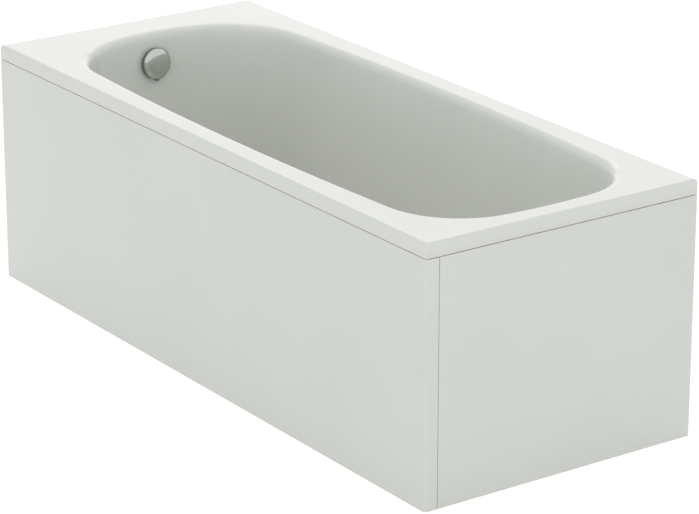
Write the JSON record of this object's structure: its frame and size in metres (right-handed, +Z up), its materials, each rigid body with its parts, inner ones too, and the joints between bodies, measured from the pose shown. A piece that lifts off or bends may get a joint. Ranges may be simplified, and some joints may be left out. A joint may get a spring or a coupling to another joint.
{
  "type": "bathtub",
  "caption": "Straight rectangular bathtub with flat rim, sloping backrest, front and end panels, adjustable feet and a knob that lifts the plug by a cable.",
  "frame": {"origin": "on the floor, under the centre of the rim", "axes": "+X along the bath from the waste end to the backrest end, +Y from the front panel to the wall, +Z up"},
  "size_m": [1.7, 0.7, 0.58],
  "materials": {
    "shell_acrylic": "glossy cast acrylic",
    "panel_acrylic": "glossy acrylic sheet",
    "timber": "planed softwood",
    "chipboard": "raw chipboard",
    "zinc_steel": "zinc plated steel",
    "spring_steel": "bright spring steel",
    "foot_plastic": "moulded black plastic",
    "chrome": "satin chrome plating",
    "rubber": "black rubber",
    "waste_plastic": "moulded white plastic",
    "hose_plastic": "flexible grey hose",
    "cable_sheath": "black extruded sheath",
    "bright_steel": "drawn bright steel"
  },
  "bodies": {
    "bath": {"tub_shell": "shell_acrylic", "front_panel": "panel_acrylic", "end_panel": "panel_acrylic", "rim_batten_front": "timber", "rim_batten_back": "timber", "rim_batten_drain_end": "timber", "rim_batten_head_end": "timber", "base_board": "chipboard", "leg_channel_drain_end": "zinc_steel", "leg_channel_head_end": "zinc_steel", "centre_foot_plate": "zinc_steel", "wall_brackets": "zinc_steel", "centre_foot_nut": "zinc_steel", "leg_lock_nuts": "zinc_steel", "leg_screws": "zinc_steel", "clip_screws": "zinc_steel", "wall_bracket_screws": "zinc_steel", "front_rim_clips": "spring_steel", "end_rim_clips": "spring_steel", "front_floor_clips": "spring_steel", "end_floor_clips": "spring_steel", "corner_clips": "spring_steel", "overflow_faceplate": "chrome", "waste_flange": "chrome", "body_seals": "rubber", "waste_body": "waste_plastic", "overflow_housing": "waste_plastic", "hose_nut_top": "waste_plastic", "hose_nut_bottom": "waste_plastic", "overflow_hose": "hose_plastic", "control_cable": "cable_sheath", "cable_ferrule": "bright_steel"},
    "knob": {"overflow_knob": "chrome", "knob_spindle": "bright_steel", "cable_drum": "waste_plastic"},
    "plug": {"pop_up_plug": "chrome", "plug_seal": "rubber"},
    "rocker": {"rocker_shaft": "bright_steel", "rocker_finger": "waste_plastic", "rocker_lever": "waste_plastic"},
    "cable": {"cable_core": "bright_steel"},
    "foot_drain_front": {"foot_pad_drain_front": "foot_plastic", "foot_stud_drain_front": "zinc_steel"},
    "foot_drain_back": {"foot_pad_drain_back": "foot_plastic", "foot_stud_drain_back": "zinc_steel"},
    "foot_head_front": {"foot_pad_head_front": "foot_plastic", "foot_stud_head_front": "zinc_steel"},
    "foot_head_back": {"foot_pad_head_back": "foot_plastic", "foot_stud_head_back": "zinc_steel"},
    "foot_centre": {"foot_pad_centre": "foot_plastic", "foot_stud_centre": "zinc_steel"}
  },
  "joints": [
    {"name": "knob_turn", "type": "hinge", "parent": "bath", "child": "knob", "pos_m": [-0.7285, 0, 0.506], "axis": [-0.9962, 0, -0.0872], "range_deg": [0, 90]},
    {"name": "plug_rise", "type": "slide", "parent": "bath", "child": "plug", "axis": [0, 0, 1], "range_m": [0, 0.012]},
    {"name": "rocker_turn", "type": "hinge", "parent": "bath", "child": "rocker", "pos_m": [-0.523, 0, 0.123], "axis": [0, 1, 0], "range_deg": [0, 26]},
    {"name": "cable_pull", "type": "slide", "parent": "bath", "child": "cable", "axis": [-1, 0, 0], "range_m": [0, 0.0098]},
    {"name": "foot_drain_front_screw", "type": "slide", "parent": "bath", "child": "foot_drain_front", "axis": [0, 0, -1], "range_m": [-0.015, 0.015]},
    {"name": "foot_drain_back_screw", "type": "slide", "parent": "bath", "child": "foot_drain_back", "axis": [0, 0, -1], "range_m": [-0.015, 0.015]},
    {"name": "foot_head_front_screw", "type": "slide", "parent": "bath", "child": "foot_head_front", "axis": [0, 0, -1], "range_m": [-0.015, 0.015]},
    {"name": "foot_head_back_screw", "type": "slide", "parent": "bath", "child": "foot_head_back", "axis": [0, 0, -1], "range_m": [-0.015, 0.015]},
    {"name": "foot_centre_screw", "type": "slide", "parent": "bath", "child": "foot_centre", "axis": [0, 0, -1], "range_m": [-0.015, 0.015]}
  ],
  "couplings": [
    {"joint": "plug_rise", "follows": "knob_turn", "m_per_rad": 0.007639},
    {"joint": "rocker_turn", "follows": "knob_turn", "ratio": 0.2888},
    {"joint": "cable_pull", "follows": "knob_turn", "m_per_rad": 0.00621}
  ]
}
